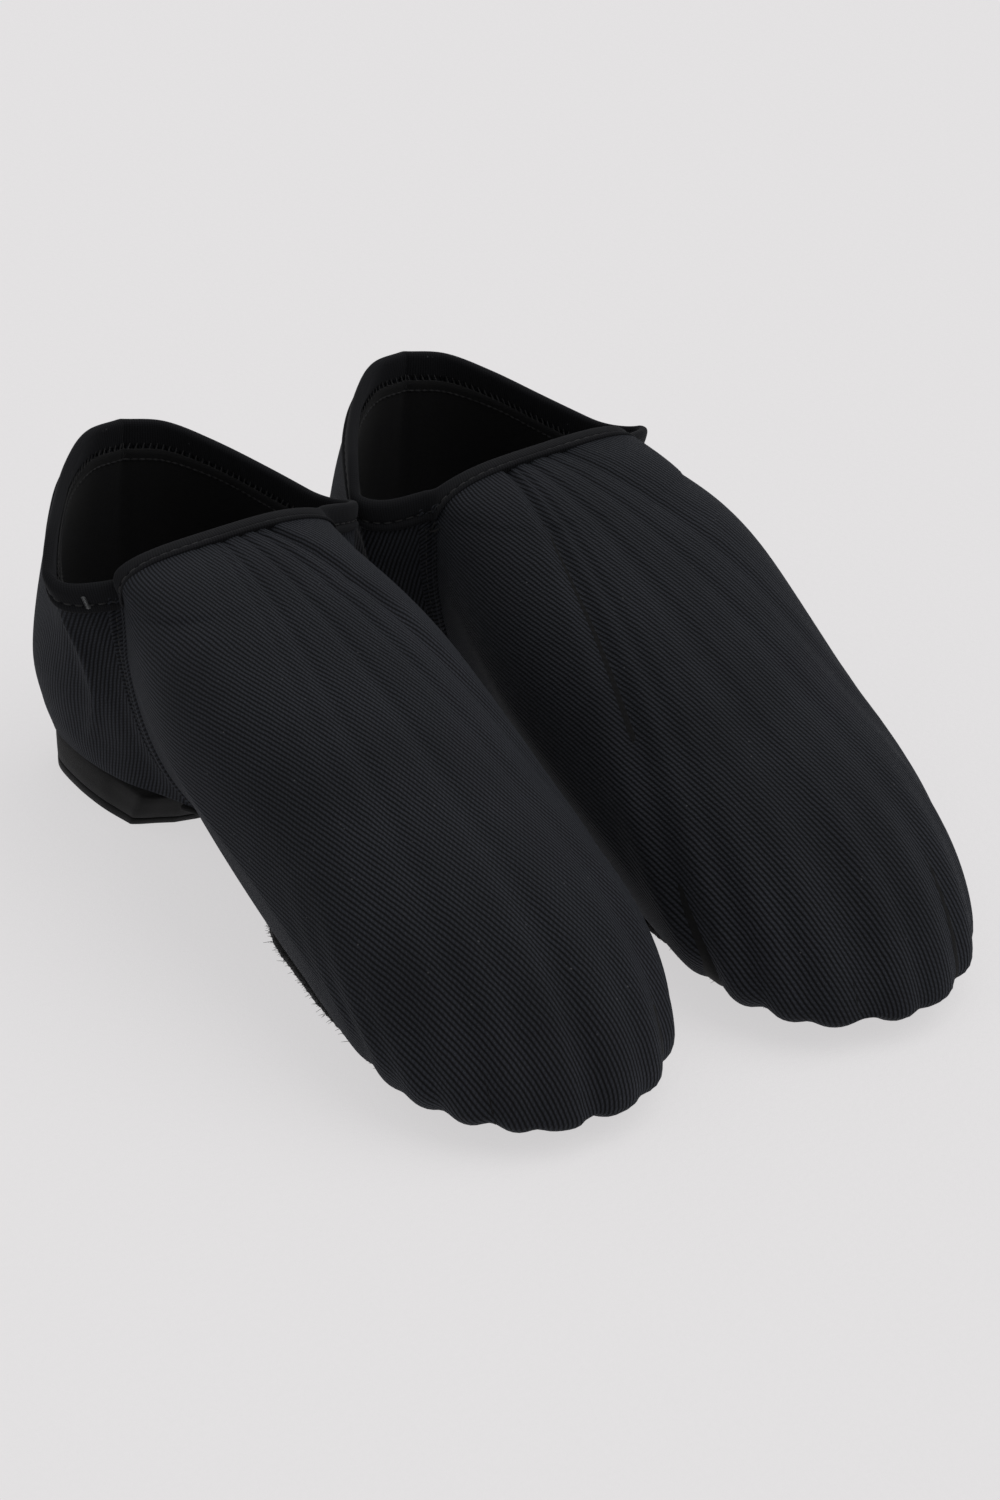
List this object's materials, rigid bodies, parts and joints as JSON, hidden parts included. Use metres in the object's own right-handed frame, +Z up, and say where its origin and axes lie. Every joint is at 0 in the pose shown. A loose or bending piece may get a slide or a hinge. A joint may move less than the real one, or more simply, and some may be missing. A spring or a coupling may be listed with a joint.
{
  "type": "pair of dance slippers",
  "caption": "Pair of low-heeled split-sole canvas dance slippers with bound topline, side seams, suede forefoot patch and block heel; the left one lifts away.",
  "frame": {"origin": "middle of the pair's bounding box, at floor height", "axes": "+Z up, toes toward -Y, heels toward +Y, the wearer's right slipper at -X and left slipper at +X"},
  "size_m": [0.191, 0.257, 0.0943],
  "materials": {
    "canvas": "cotton twill, matt, faintly faded",
    "lining": "thin plain cotton",
    "binding": "folded knit tape, matt",
    "stiffener": "pressed fibre sheet",
    "filler": "felt",
    "sock": "cotton covered board",
    "pad": "brushed cloth over foam",
    "suede": "split suede, raw edge",
    "heel": "suede covered",
    "cap": "suede layer"
  },
  "bodies": {
    "right_slipper": {"right_vamp_canvas": "canvas", "right_vamp_lining": "lining", "right_quarter_canvas": "canvas", "right_quarter_lining": "lining", "right_heel_counter": "stiffener", "right_topline_binding": "binding", "right_lateral_seam": "canvas", "right_medial_seam": "canvas", "right_insole": "sock", "right_heel_pad": "pad", "right_arch_panel": "canvas", "right_bottom_filler": "filler", "right_forefoot_sole": "suede", "right_heel_block": "heel", "right_heel_cap": "cap"},
    "left_slipper": {"left_vamp_canvas": "canvas", "left_vamp_lining": "lining", "left_quarter_canvas": "canvas", "left_quarter_lining": "lining", "left_heel_counter": "stiffener", "left_topline_binding": "binding", "left_lateral_seam": "canvas", "left_medial_seam": "canvas", "left_insole": "sock", "left_heel_pad": "pad", "left_arch_panel": "canvas", "left_bottom_filler": "filler", "left_forefoot_sole": "suede", "left_heel_block": "heel", "left_heel_cap": "cap"}
  },
  "joints": [
    {"name": "left_slipper_lift", "type": "slide", "parent": "right_slipper", "child": "left_slipper", "axis": [0, 0, 1], "range_m": [0, 0.1]}
  ]
}
